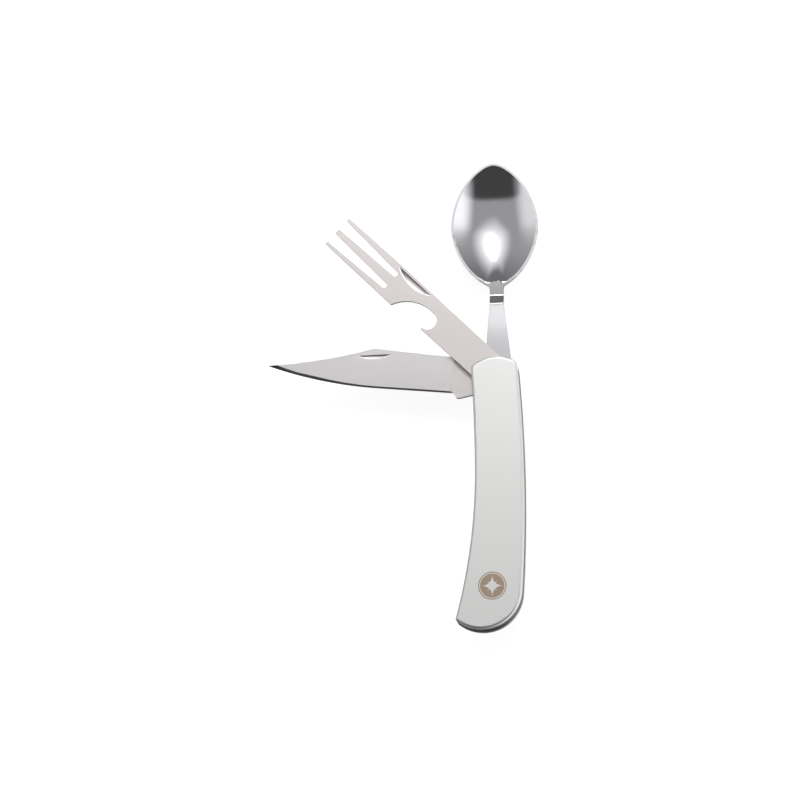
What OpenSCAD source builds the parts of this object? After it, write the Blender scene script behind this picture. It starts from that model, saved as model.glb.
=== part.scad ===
// Folding camping cutlery: fork with bottle opener, knife and spoon on one pivot.
// The origin is the point where the pivot's axis meets the front cover's flat face.
// +Z is the front cover's outward normal, +Y runs from the tail to the pivot end.

/* [Handle] */
// Radius of the arc across the pivot end
crown_r = 15; // [13:0.5:18]
// Height of that arc's crest above the pivot
crown_rise = 6.9; // [6.7:0.1:8]
// Radius of the two corners of the pivot end
crown_corner_r = 1.9; // [1:0.1:2.5]
// Farthest distance of the spine edge from the pivot's axis
spine_x = 10.95; // [10.5:0.05:12]
// Distance below the pivot at which the spine edge is farthest out
spine_peak = 52; // [48:1:56]
// Radius of the spine edge
spine_r = 580; // [500:10:700]
// Radius of the tail
tail_r = 15.7; // [15:0.1:16.5]
// Distance from the tail arc's centre to the reach of the longer folded tool
tail_back = 5.7; // [5:0.1:8]
// Distance of the belly edge's waist from the pivot's axis
belly_x = 8.15; // [7.8:0.05:9]
// Distance of the waist below the pivot
waist_drop = 38.5; // [34:0.5:42]
// Radius of the belly edge above the waist
belly_upper_r = 600; // [450:10:800]
// Radius of the belly edge below the waist
belly_lower_r = 222; // [210:1:260]
// Radius of the corner between the belly and the tail
beak_r = 1; // [0.5:0.1:2]
// Rounding of the outer edges of both covers
cover_edge_r = 1.7; // [0.6:0.1:2]
// Narrow flats that make up that rounding
edge_flats = 5; // [2:1:6]

/* [Layers] */
// Thickness of each cover
cover_t = 3; // [2.4:0.1:3.6]
// Thickness of each liner
liner_t = 0.8; // [0.4:0.1:1.2]
// Distance by which the liners stop short of the covers' edges
liner_inset = 0.15; // [0.05:0.05:0.4]
// Thickness of the fork
fork_t = 1.8; // [1.2:0.1:2.5]
// Thickness of the knife
knife_t = 2.2; // [1.6:0.1:3]
// Thickness of the spoon's shank
shank_t = 1.5; // [1.2:0.1:2.5]
// Side clearance of each tool that turns
side_gap = 0.05; // [0.03:0.01:0.1]

/* [Pins] */
// Radius of the pivot pin
pivot_r = 2; // [1.5:0.1:2.5]
// Radial clearance of the pivot pin in the tools
running_gap = 0.05; // [0.02:0.01:0.1]
// Radius of the two pins that hold the springs
spring_pin_r = 1; // [0.7:0.1:1.2]
// Distance of the centre pin from the spine edge
centre_pin_in = 2.55; // [2.2:0.05:2.8]
// Distance of the centre pin below the pivot
centre_pin_drop = 50; // [45:1:55]
// Place of the tail pin across the handle
tail_pin_x = -3; // [-5:0.1:0]
// Distance of the tail pin below the tail arc's centre
tail_pin_drop = 12.7; // [12:0.1:13.5]
// Radius of the pivot pin's head
rivet_head_r = 3.4; // [3:0.1:4]
// Height of that head
rivet_head_h = 0.9; // [0.6:0.1:1.5]
// Radius of the washers behind the spoon
washer_r = 4.2; // [4:0.1:4.6]
// Thickness of the spring washer
spring_washer_t = 0.4; // [0.3:0.1:0.8]
// Thickness of the rivet washer
rivet_washer_t = 0.5; // [0.3:0.1:1]
// Radius of the spoon's stop pin
stop_pin_r = 0.8; // [0.6:0.1:0.9]
// Distance of the stop pin from the pivot
stop_pin_out = 5.9; // [5.8:0.1:6]

/* [Springs] */
// Radius of the round tang of the fork and the knife
tang_r = 6.4; // [6:0.1:6.5]
// Clearance of the spring at the tangs
spring_gap = 0.2; // [0.1:0.05:0.4]
// Height of the spring's end above the pivot
spring_end = 2.2; // [1:0.1:3]
// Distance from the pivot at which the springs carry the knife's kick
kick_seat = 15.5; // [14.5:0.1:16]
// Length of the springs' slope beyond that seat
kick_ramp = 7; // [5:0.5:9]
// Place of the springs' inner edge at the tail
pocket_end_x = 2; // [1:0.1:3]
// Clearance beyond a folded tool's tip
tip_gap = 0.7; // [0.5:0.1:1.5]

/* [Fork] */
// Direction of the fork as it is shown, counterclockwise from +X
fork_dir = 136.2; // [100:0.1:200]
// Reach of the tines from the pivot
fork_reach = 85.8; // [82:0.1:87]
// Half width of the fork's head, opener side
head_low = 7.5; // [7:0.1:7.8]
// Half width of the fork's head, back side
head_high = 6.4; // [6:0.1:6.8]
// Start of the head, where the opener ends
head_start = 49.7; // [48:0.1:50]
// Distance of the slots' round ends from the pivot
slot_root = 57.2; // [55:0.1:60]
// Radius of the slots' round ends
slot_root_r = 1.1; // [0.8:0.1:1.2]
// Width of the slots at the tips
slot_mouth = 4.5; // [3.5:0.1:4.7]
// Place across the fork of the two slots at their round ends
slot_root_v = [-3.8, 2.4]; // [-5:0.05:5]
// Place across the fork of the two slots at the tips
slot_mouth_v = [-3.9, 2.65]; // [-5:0.05:5]
// Radius of the opener's wide arc
opener_r = 14.4; // [13:0.1:15]
// Radius of the opener's throat
throat_r = 3.6; // [3:0.1:3.8]
// Distance of the throat's centre from the pivot
throat_u = 34.9; // [34:0.1:36]
// Place of the throat's centre across the fork
throat_v = -2.5; // [-3:0.1:-2]
// Distance of the wide arc's centre from the pivot
opener_u = 36.6; // [36:0.1:37]
// Place of the wide arc's centre across the fork
opener_v = -13.1; // [-14:0.1:-12.5]

/* [Knife] */
// Direction of the knife as it is shown, counterclockwise from +X
knife_dir = 174.9; // [120:0.1:210]
// Reach of the knife's tip from the pivot
knife_reach = 90.2; // [87:0.1:92]
// Height of the tip above the blade's axis
tip_v = -1.5; // [-2.5:0.1:-1]
// Distance of the cutting edge below the blade's axis
edge_low = 7.5; // [7:0.1:7.8]
// Distance from the pivot at which the edge begins to rise
edge_rise = 46; // [40:1:52]
// Distance of the highest point of the back from the pivot
peak_u = 48.9; // [46:0.1:51]
// Height of that point above the blade's axis
peak_v = 8; // [7.5:0.1:8.2]
// Radius of the hollow clip between that point and the tip
clip_r = 205; // [150:5:400]
// Distance of the plunge line from the pivot
plunge_u = 17.5; // [17:0.1:19]
// Thickness left at the edge by the flat grind
edge_t = 0.4; // [0.3:0.05:0.8]
// Width of the sharpened bevel
bevel_w = 0.6; // [0.3:0.1:1]
// Distance of the kick below the blade's axis
kick_low = 9.4; // [9:0.1:9.6]
// Length of the kick's flat
kick_len = 1.1; // [0.8:0.1:1.5]

/* [Nail nicks] */
// Depth of the nail nicks
nick_depth = 0.55; // [0.3:0.05:0.7]
// Distance of the middle of the fork's nick from the pivot
fork_nick_u = 49.2; // [46:0.1:51]
// Distance of that nick's step from the fork's axis
fork_nick_v = 5.6; // [5:0.1:5.8]
// Length of the fork's nick
fork_nick_len = 17.6; // [14:0.1:19]
// Height of the fork's nick
fork_nick_h = 2.6; // [2:0.1:3]
// Distance of the middle of the knife's nick from the pivot
knife_nick_u = 48.9; // [46:0.1:51]
// Distance of that nick's step from the blade's axis
knife_nick_v = 5.4; // [5:0.1:6]
// Length of the knife's nick
knife_nick_len = 15.8; // [13:0.1:17]
// Height of the knife's nick
knife_nick_h = 2.8; // [2:0.1:3.2]
// Slope of the knife's nick along the back
knife_nick_slope = -6.9; // [-9:0.1:0]

/* [Spoon] */
// Direction of the spoon as it is shown, counterclockwise from +X
spoon_dir = 91.5; // [88:0.1:95]
// Turn from that place until the spoon is folded
spoon_turn = 178; // [170:1:180]
// Slack at each stop of the spoon, in degrees
stop_slack = 0.4; // [0.2:0.1:1]
// Distance of the bowl's widest place from the pivot
bowl_at = 61.5; // [58:0.1:64]
// Half width of the bowl
bowl_half_w = 17.15; // [15:0.05:19]
// Length of the bowl from its widest place to the tip
bowl_front = 25.5; // [22:0.1:27]
// Length of the bowl from its widest place to the neck
bowl_back = 24.3; // [22:0.1:25]
// Depth of the bowl
bowl_depth = 7.2; // [6.5:0.1:10]
// Length of the flat neck behind the hollow
neck_len = 3; // [2:0.1:4]
// Wall of the bowl
bowl_wall = 1.2; // [0.8:0.1:1.5]
// Half width of the neck
neck_half_w = 2.7; // [2.4:0.1:3.5]
// Half width of the shank at the pivot
shank_half_w = 5.9; // [5:0.1:6.2]
// Distance from the pivot at which the shank steps back
joggle_at = 30.5; // [27:0.1:32]
// Length of that step
joggle_len = 2.9; // [2:0.1:4]
// Height of that step
joggle_drop = 1.7; // [1.3:0.1:3]
// Rows of facets along the bowl
bowl_rows = 30; // [16:2:40]
// Columns of facets across the bowl
bowl_columns = 16; // [10:2:24]

/* [Hidden] */
$fn = 72;
fine = 256;
over = 1;
far = 120;

// The front face of every layer, counted back from the front cover.
fork_layer_t = fork_t + 2 * side_gap;
knife_layer_t = knife_t + 2 * side_gap;
front_liner_z = -cover_t;
fork_layer_z = front_liner_z - liner_t;
middle_liner_z = fork_layer_z - fork_layer_t;
knife_layer_z = middle_liner_z - liner_t;
back_liner_z = knife_layer_z - knife_layer_t;
back_cover_z = back_liner_z - liner_t;
spoon_layer_z = back_cover_z - cover_t;
spring_washer_z = spoon_layer_z - shank_t - 2 * side_gap;
rivet_washer_z = spring_washer_z - spring_washer_t;
rivet_head_z = rivet_washer_z - rivet_washer_t;

// The arcs of the handle's outline. The tail's arc is tangent to the spine's.
// The handle is as long as the longer of the two tools that fold into it.
longest = max(fork_reach, knife_reach);
tail_drop = longest - tail_back;
crown_at = [0.4, crown_rise - crown_r];
belly_upper_at = [-belly_x - belly_upper_r, -waist_drop];
belly_lower_at = [-belly_x - belly_lower_r, -waist_drop];
spine_at = [spine_x - spine_r, -spine_peak];
tail_rise = spine_peak - tail_drop;
tail_at = [spine_at[0] + sqrt(pow(spine_r - tail_r, 2) - pow(tail_rise, 2)), -tail_drop];
tail_turn = atan2(tail_rise, tail_at[0] - spine_at[0]);

// The inner edge of the springs: the end, the kick's seat, the waist and the tail block.
spring_x = tang_r + spring_gap;
folded_dir = 264;
kick_x = kick_seat * cos(folded_dir) + kick_low + spring_gap;
centre_pin_at = [spine_x - centre_pin_in, -centre_pin_drop];
tail_pin_at = [tail_pin_x, -tail_drop - tail_pin_drop];

// The fork's opener.
throat_at = [throat_u, throat_v];
opener_at = [opener_u, opener_v];

// The knife's arcs.
tip_at = [knife_reach, tip_v];
peak_at = [peak_u, peak_v];
edge_run = knife_reach - edge_rise;
edge_arc_r = (pow(edge_run, 2) + pow(tip_v + edge_low, 2)) / (2 * (tip_v + edge_low));
edge_arc_at = [edge_rise, edge_arc_r - edge_low];
grind_turn = atan((knife_t - edge_t) / 2 / (peak_at[1] + edge_low));

// The spoon's stop, half way between the backs of its two end places.
stop_dir = spoon_dir + spoon_turn / 2 - 180;
shoulder = 180 - spoon_turn / 2 - asin(stop_pin_r / stop_pin_out) - stop_slack;
tang_step_r = stop_pin_out - stop_pin_r - spring_gap;

steel = [0.8, 0.8, 0.81];
satin = [0.72, 0.72, 0.73];
polished = [0.62, 0.62, 0.66];

function polar(at, r, turn) = at + r * [cos(turn), sin(turn)];
// Direction from the point a to the point b.
function heading(a, b) = atan2(b[1] - a[1], b[0] - a[0]);
// Points of an arc without its last one.
function arc(at, r, from, to, count) =
    [for (i = [0 : count - 1]) polar(at, r, from + (to - from) * i / count)];
// The point ra from a and rb from b, on the right of the way from a to b.
function meet(a, ra, b, rb) =
    let (d = norm(b - a), x = (d * d + ra * ra - rb * rb) / (2 * d), e = (b - a) / d)
    a + x * e + sqrt(ra * ra - x * x) * [e[1], -e[0]];

// The handle's outline, drawn in by the distance inset, from the crest and round by the belly.
function handle_outline(inset = 0) =
    let (corner = max(0.15, crown_corner_r - inset),
        beak = max(0.15, beak_r - inset),
        crown = crown_r - inset, spine = spine_r - inset, tail = tail_r - inset,
        upper = belly_upper_r + inset, lower = belly_lower_r + inset,
        left_at = meet(crown_at, crown - corner, belly_upper_at, upper + corner),
        right_at = meet(crown_at, crown - corner, spine_at, spine - corner),
        beak_at = meet(belly_lower_at, lower + beak, tail_at, tail - beak))
    concat(
        arc(crown_at, crown, 90, heading(crown_at, left_at), 6),
        arc(left_at, corner, heading(crown_at, left_at), heading(left_at, belly_upper_at) + 360, 5),
        arc(belly_upper_at, upper, heading(belly_upper_at, left_at), 0, 6),
        arc(belly_lower_at, lower, 0, heading(belly_lower_at, beak_at), 14),
        arc(beak_at, beak, heading(beak_at, belly_lower_at), heading(tail_at, beak_at) + 360, 5),
        arc(tail_at, tail, heading(tail_at, beak_at), tail_turn, 24),
        arc(spine_at, spine, tail_turn, heading(spine_at, right_at), 16),
        arc(right_at, corner, heading(spine_at, right_at), heading(crown_at, right_at), 5),
        arc(crown_at, crown, heading(crown_at, right_at), 90, 6));

// Centre of the arc of radius r from a to b, on the left of the way from a to b.
function arc_centre(a, b, r) =
    let (d = b - a, m = (a + b) / 2, h = sqrt(r * r - d * d / 4))
    m + h * [-d[1], d[0]] / norm(d);

// Half width of the spoon at the distance u: the neck, then an egg.
function egg(u) =
    let (x = u < bowl_at ? (bowl_at - u) / bowl_back : (u - bowl_at) / bowl_front)
    bowl_half_w * pow(max(0, 1 - pow(x, 1.8)), 0.6);
function spoon_half_w(u) = u < bowl_at ? pow(pow(egg(u), 4) + pow(neck_half_w, 4), 0.25) : egg(u);

// Depth of the hollow at the distance u, on the spoon's axis.
function hollow(u) =
    let (x = u < bowl_at ? (bowl_at - u) / (bowl_back - neck_len) : (u - bowl_at) / bowl_front)
    bowl_depth * max(0, 1 - pow(x, 2.3));
// Height of the rim: it steps back at the joggle.
function rim_z(u) = -joggle_drop * min(1, (u - joggle_at) / joggle_len);

// Distances of the bowl's rows from the pivot, closer together towards the tip.
bowl_end = bowl_at + bowl_front - 0.12;
bowl_u = concat(
    [joggle_at, joggle_at + joggle_len],
    [for (i = [0 : bowl_rows]) let (turn = -78 + 168 * i / bowl_rows)
        turn < 0 ? bowl_at + (bowl_at - joggle_at - joggle_len - 1) * sin(turn)
                 : bowl_at + (bowl_end - bowl_at) * sin(turn)]);

// A plate with the handle's outline: its front face is at z = 0.
module handle_plate(t, inset = 0) {
    translate([0, 0, -t]) linear_extrude(t) polygon(handle_outline(inset));
}

// A plate with the handle's outline, whose front edge is rounded by a few narrow flats.
module cover_plate(t, edge) {
    levels = concat([[0, -t - over]], [for (i = [0 : edge_flats]) let (turn = 90 * i / edge_flats)
        [edge - edge * cos(turn), edge * sin(turn) - edge]]);
    rings = [for (level = levels) [for (at = handle_outline(level[0])) [at[0], at[1], level[1]]]];
    count = len(rings[0]);
    top = len(levels) - 1;
    function at(ring, k) = ring * count + (k + count) % count;
    sides = [for (ring = [0 : top - 1], k = [0 : count - 1]) each [
        [at(ring, k), at(ring + 1, k), at(ring + 1, k + 1)],
        [at(ring, k), at(ring + 1, k + 1), at(ring, k + 1)]]];
    // The two flat faces are ladders of narrow strips from the belly to the spine.
    front = [for (k = [0 : floor(count / 2) - 1]) each [
        [at(top, k), at(top, -k), at(top, -k - 1)],
        [at(top, k), at(top, -k - 1), at(top, k + 1)]]];
    back = [for (k = [0 : floor(count / 2) - 1]) each [
        [at(0, k), at(0, -k - 1), at(0, -k)],
        [at(0, k), at(0, k + 1), at(0, -k - 1)]]];
    faces = concat(sides,
        [for (f = concat(front, back)) if (f[0] != f[1] && f[1] != f[2] && f[0] != f[2]) f]);
    difference() {
        polyhedron(points = [for (ring = rings) each ring], faces = faces);
        translate([-far, -far, -t - 2 * over]) cube([2 * far, 2 * far, 2 * over]);
    }
}

// A hole or a pin along Z, from the height z down by the length h.
module along_z(at, r, z, h) {
    translate([at[0], at[1], z - h]) cylinder(h = h, r = r);
}

module spring_pin_holes(z, t) {
    along_z(centre_pin_at, spring_pin_r, z + over, t + 2 * over);
    along_z(tail_pin_at, spring_pin_r, z + over, t + 2 * over);
}

module liner(z) {
    difference() {
        translate([0, 0, z]) handle_plate(liner_t, liner_inset);
        along_z([0, 0], pivot_r, z + over, liner_t + 2 * over);
        spring_pin_holes(z, liner_t);
    }
}

// A backspring: it follows the handle's spine, bears on the tang and fills the tail.
module backspring(z, t, reach) {
    translate([0, 0, z]) difference() {
        handle_plate(t);
        intersection() {
            along_z([0, 0], reach + tip_gap, over, t + 2 * over);
            translate([0, 0, -t - over]) linear_extrude(t + 2 * over) polygon([
                [-far, -2 * far], [pocket_end_x, -2 * far], [pocket_end_x, tail_pin_at[1]],
                [tang_r, -waist_drop - tip_gap], [tang_r, -plunge_u - kick_ramp],
                [kick_x, -plunge_u], [kick_x, -kick_seat],
                [spring_x, spring_end], [-far, spring_end]]);
        }
        translate([-far, spring_end, -t - over]) cube([2 * far, far, t + 2 * over]);
        spring_pin_holes(0, t);
    }
}

// A nail nick: a cone that dips below the face. The step is on the side of the back.
module nail_nick(u, v, length, height, slope, z) {
    nick_r = (pow(length / 2, 2) + pow(nick_depth, 2)) / (2 * nick_depth);
    translate([u, v, z + nick_r - nick_depth]) rotate([90, 0, slope])
        cylinder(h = height, r1 = nick_r, r2 = nick_r - nick_depth, $fn = fine);
}

// Turns a tool drawn along +X, with its back towards +Y, to its direction.
module tool_at(dir, z) {
    translate([0, 0, z]) rotate([0, 0, dir]) mirror([0, 1, 0]) children();
}

module fork_outline() {
    difference() {
        union() {
            circle(tang_r);
            polygon([[0, -tang_r], [throat_at[0], -tang_r - 0.2], [head_start, -head_low],
                [fork_reach, -head_low + 0.1], [fork_reach, head_high - 0.2],
                [slot_root, head_high + 0.2], [0, tang_r]]);
        }
        circle(pivot_r + running_gap);
        translate(throat_at) circle(throat_r);
        intersection() {
            translate(opener_at) circle(opener_r, $fn = fine);
            translate([throat_at[0] - 0.3, -far]) square([far, 2 * far]);
        }
        for (i = [0, 1]) {
            translate([slot_root, slot_root_v[i]]) circle(slot_root_r);
            polygon([
                [slot_root, slot_root_v[i] - slot_root_r],
                [fork_reach + over, slot_mouth_v[i] - slot_mouth / 2],
                [fork_reach + over, slot_mouth_v[i] + slot_mouth / 2],
                [slot_root, slot_root_v[i] + slot_root_r]]);
        }
    }
}

module knife_outline() {
    difference() {
        union() {
            circle(tang_r);
            polygon([[1, 0.2 - tang_r], [kick_seat - 6.6, -tang_r - 1.4],
                [kick_seat - kick_len - 2 * spring_gap, -kick_low],
                [kick_seat - 2 * spring_gap, -kick_low],
                [plunge_u - 0.7, -edge_low + 0.4], [plunge_u, -edge_low],
                [knife_reach + over, -edge_low], [knife_reach + over, peak_at[1]],
                peak_at, [plunge_u + 1.2, tang_r + 0.2], [1, tang_r - 0.2]]);
        }
        circle(pivot_r + running_gap);
        translate(arc_centre(peak_at, tip_at, clip_r)) circle(clip_r, $fn = fine);
    }
}

// The sharpened edge: a wedge along the straight stretch, a double cone round the rise.
module sharp_edge() {
    half = knife_t / 2 + over;
    slant = bevel_w * half / (edge_t / 2);
    translate([-far, -far, -knife_t / 2 - half]) cube([far + plunge_u, 2 * far, 2 * half]);
    translate([plunge_u, 0, -knife_t / 2]) rotate([90, 0, 90]) linear_extrude(edge_rise - plunge_u)
        polygon([[-edge_low, 0], [slant - edge_low, half], [far, half], [far, -half],
            [slant - edge_low, -half]]);
    intersection() {
        translate([edge_arc_at[0], edge_arc_at[1], -knife_t / 2]) union() {
            cylinder(h = half, r1 = edge_arc_r, r2 = edge_arc_r - slant, $fn = fine);
            mirror([0, 0, 1])
                cylinder(h = half, r1 = edge_arc_r, r2 = edge_arc_r - slant, $fn = fine);
        }
        translate([edge_rise, -far, -knife_t / 2 - half]) cube([far, 2 * far, 2 * half]);
    }
}

// What the flat grind takes off the front of the blade.
module grind_cut() {
    translate([plunge_u, peak_at[1], 0]) rotate([grind_turn, 0, 0])
        translate([0, -far, 0]) cube([2 * far, far + over, knife_t + over]);
}

// The bowl, its neck and the joggle: one wall between two grids of facets.
module bowl() {
    rows = len(bowl_u) - 1;
    cols = bowl_columns;
    points = [for (side = [0, 1], u = bowl_u, j = [0 : cols])
        let (s = 2 * j / cols - 1, w = spoon_half_w(u),
            wall = u == joggle_at ? shank_t : bowl_wall)
        [u, s * w, rim_z(u) - hollow(u) * (1 - pow(abs(s), 2.2)) - side * wall]];
    function at(side, i, j) = side * len(bowl_u) * (cols + 1) + i * (cols + 1) + j;
    function quad(a, b, c, d) = [[a, b, c], [a, c, d]];
    inner = [for (i = [0 : rows - 1], j = [0 : cols - 1])
        each quad(at(0, i, j), at(0, i, j + 1), at(0, i + 1, j + 1), at(0, i + 1, j))];
    outer = [for (i = [0 : rows - 1], j = [0 : cols - 1])
        each quad(at(1, i, j), at(1, i + 1, j), at(1, i + 1, j + 1), at(1, i, j + 1))];
    ends = [for (j = [0 : cols - 1]) each concat(
        quad(at(0, 0, j), at(1, 0, j), at(1, 0, j + 1), at(0, 0, j + 1)),
        quad(at(0, rows, j), at(0, rows, j + 1), at(1, rows, j + 1), at(1, rows, j)))];
    edges = [for (i = [0 : rows - 1]) each concat(
        quad(at(0, i, 0), at(0, i + 1, 0), at(1, i + 1, 0), at(1, i, 0)),
        quad(at(0, i, cols), at(1, i, cols), at(1, i + 1, cols), at(0, i + 1, cols)))];
    polyhedron(points = points, faces = concat(inner, outer, ends, edges), convexity = 6);
}

module shank() {
    translate([0, 0, -shank_t]) linear_extrude(shank_t) difference() {
        union() {
            circle(tang_r);
            polygon([[0, -shank_half_w], [joggle_at, -neck_half_w], [joggle_at, neck_half_w],
                [0, shank_half_w]]);
        }
        circle(pivot_r + running_gap);
        difference() {
            polygon([[0, 0], far * [cos(shoulder), sin(shoulder)], [-far, far], [-far, -far],
                far * [cos(shoulder), -sin(shoulder)]]);
            circle(tang_step_r);
        }
    }
}

// A rivet's head below the height z.
module rivet_head(r, h, z) {
    dome_r = (r * r + h * h) / (2 * h);
    intersection() {
        translate([0, 0, z - h + dome_r]) sphere(dome_r, $fn = 128);
        along_z([0, 0], r + over, z, h);
    }
}

module washer(t, z) {
    difference() {
        along_z([0, 0], washer_r, z, t);
        along_z([0, 0], pivot_r, z + over, t + 2 * over);
    }
}

module front_cover() {
    color(satin) cover_plate(cover_t, cover_edge_r);
}

module front_liner() {
    color(steel) liner(front_liner_z);
}

module fork_spring() {
    color(steel) backspring(fork_layer_z, fork_layer_t, fork_reach);
}

module middle_liner() {
    color(steel) liner(middle_liner_z);
}

module knife_spring() {
    color(steel) backspring(knife_layer_z, knife_layer_t, knife_reach);
}

module back_liner() {
    color(steel) liner(back_liner_z);
}

module back_cover() {
    color(satin) difference() {
        translate([0, 0, spoon_layer_z]) mirror([0, 0, 1]) cover_plate(cover_t, cover_edge_r);
        along_z([0, 0], pivot_r, back_cover_z + over, cover_t + 2 * over);
        along_z(stop_pin_out * [cos(stop_dir), sin(stop_dir)], stop_pin_r,
            back_cover_z + over, cover_t + 2 * over);
        spring_pin_holes(back_cover_z, cover_t);
    }
}

module pivot_pin() {
    color(steel) {
        along_z([0, 0], pivot_r, front_liner_z, front_liner_z - rivet_head_z);
        rivet_head(rivet_head_r, rivet_head_h, rivet_head_z);
    }
}

module centre_pin() {
    color(steel) along_z(centre_pin_at, spring_pin_r, front_liner_z, front_liner_z - spoon_layer_z);
}

module tail_pin() {
    color(steel) along_z(tail_pin_at, spring_pin_r, front_liner_z, front_liner_z - spoon_layer_z);
}

module spring_washer() {
    color(steel) washer(spring_washer_t, spring_washer_z);
}

module rivet_washer() {
    color(steel) washer(rivet_washer_t, rivet_washer_z);
}

module spoon_stop_pin() {
    color(steel) along_z(stop_pin_out * [cos(stop_dir), sin(stop_dir)], stop_pin_r,
        back_cover_z, cover_t + side_gap + shank_t);
}

module fork() {
    color(satin) tool_at(fork_dir, fork_layer_z - side_gap) difference() {
        translate([0, 0, -fork_t]) linear_extrude(fork_t) fork_outline();
        nail_nick(fork_nick_u, fork_nick_v, fork_nick_len, fork_nick_h, 0, 0);
    }
}

module knife_blade() {
    color(satin) tool_at(knife_dir, knife_layer_z - side_gap) difference() {
        intersection() {
            translate([0, 0, -knife_t]) linear_extrude(knife_t) knife_outline();
            sharp_edge();
        }
        grind_cut();
        translate([0, 0, -knife_t]) mirror([0, 0, 1]) grind_cut();
        nail_nick(knife_nick_u, knife_nick_v, knife_nick_len, knife_nick_h,
            knife_nick_slope, 0);
    }
}

module spoon() {
    color(polished) tool_at(spoon_dir, spoon_layer_z - side_gap) {
        shank();
        bowl();
    }
}

front_cover();
front_liner();
fork_spring();
middle_liner();
knife_spring();
back_liner();
back_cover();
pivot_pin();
centre_pin();
tail_pin();
spring_washer();
rivet_washer();
spoon_stop_pin();
fork();
knife_blade();
spoon();
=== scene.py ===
# %% [markdown]
# # A folding camping fork, knife and spoon
# The tool is all stainless steel: two satin covers with liners and springs between them, a fork
# with a bottle opener, a clip point knife and a polished spoon, all turning on one pin.
# The solid model holds every size and joint. This file gives each piece its surface: crisp edges
# that catch light, a drawn spoon bowl, and the many finishes of one metal.

from math import atan, cos, pi, radians, sin, sqrt

import bmesh
import bpy
from mathutils import Matrix, Vector


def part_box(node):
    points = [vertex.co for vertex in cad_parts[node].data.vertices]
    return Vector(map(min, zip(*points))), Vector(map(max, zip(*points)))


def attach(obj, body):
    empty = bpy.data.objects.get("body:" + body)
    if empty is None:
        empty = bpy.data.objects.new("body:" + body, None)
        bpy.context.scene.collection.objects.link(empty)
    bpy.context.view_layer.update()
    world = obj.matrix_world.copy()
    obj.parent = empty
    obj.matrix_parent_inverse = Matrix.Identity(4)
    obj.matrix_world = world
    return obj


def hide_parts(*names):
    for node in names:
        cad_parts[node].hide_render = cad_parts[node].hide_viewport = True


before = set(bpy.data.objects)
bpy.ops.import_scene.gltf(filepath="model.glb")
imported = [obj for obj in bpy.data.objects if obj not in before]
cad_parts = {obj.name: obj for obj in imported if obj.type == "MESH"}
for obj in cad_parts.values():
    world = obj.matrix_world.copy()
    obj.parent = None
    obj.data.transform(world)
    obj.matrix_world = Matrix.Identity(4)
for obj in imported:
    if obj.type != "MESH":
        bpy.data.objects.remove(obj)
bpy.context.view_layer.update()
MM = 0.001
scene = bpy.context.scene
scene.view_settings.view_transform = "Standard"

# %% [markdown]
# ## The camera
# The tool lies flat and is seen from above, a little from the tail and from the right, through a
# long lens that keeps its outlines nearly parallel. The camera is turned so that the handle's
# length runs up the picture. Its lens follows from the width that it has to show.

# %% Place the camera above the tool
VIEW_WIDTH = 310.4 * MM
VIEW_CENTRE = Vector((-37.2, -9.7, 0)) * MM
VIEW_FROM = Vector((0.115, -0.2, 1)).normalized()
VIEW_DISTANCE = 3.0

camera = bpy.data.objects.new("camera", bpy.data.cameras.new("camera"))
scene.collection.objects.link(camera)
scene.camera = camera
camera.data.lens = camera.data.sensor_width * VIEW_DISTANCE / VIEW_WIDTH
side = Vector((0, 1, 0)).cross(VIEW_FROM).normalized()
turn = Matrix((side, VIEW_FROM.cross(side), VIEW_FROM)).transposed().to_4x4()
camera.matrix_world = Matrix.Translation(VIEW_CENTRE + VIEW_FROM * VIEW_DISTANCE) @ turn
print("lens:", round(camera.data.lens), "mm")

# %% [markdown]
# ## Helpers for colours and nodes
# Colours are written as they look on a screen, and the shader works in linear light, so one
# function turns a hex value into a linear colour. A second one adds a node, sets its properties
# and fills its inputs with plain values or with links.

# %% Colour and node helpers
def colour(hex_code):
    """The linear colour of an sRGB hex value such as #c0c0c0."""
    parts = [int(hex_code[i : i + 2], 16) / 255 for i in (1, 3, 5)]
    return [p / 12.92 if p <= 0.04045 else ((p + 0.055) / 1.055) ** 2.4 for p in parts] + [1]


def add_node(tree, kind, inputs=(), **settings):
    """A new node of that kind, with its settings made and its inputs set or linked."""
    node = tree.nodes.new(kind)
    for name, value in settings.items():
        setattr(node, name, value)
    for name, value in dict(inputs).items():
        if isinstance(value, bpy.types.NodeSocket):
            tree.links.new(value, node.inputs[name])
        else:
            node.inputs[name].default_value = value
    return node


def math_node(tree, operation, first, second=0.0):
    """The result of one sum on two values or sockets."""
    return add_node(tree, "ShaderNodeMath", {0: first, 1: second}, operation=operation).outputs[0]
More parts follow.
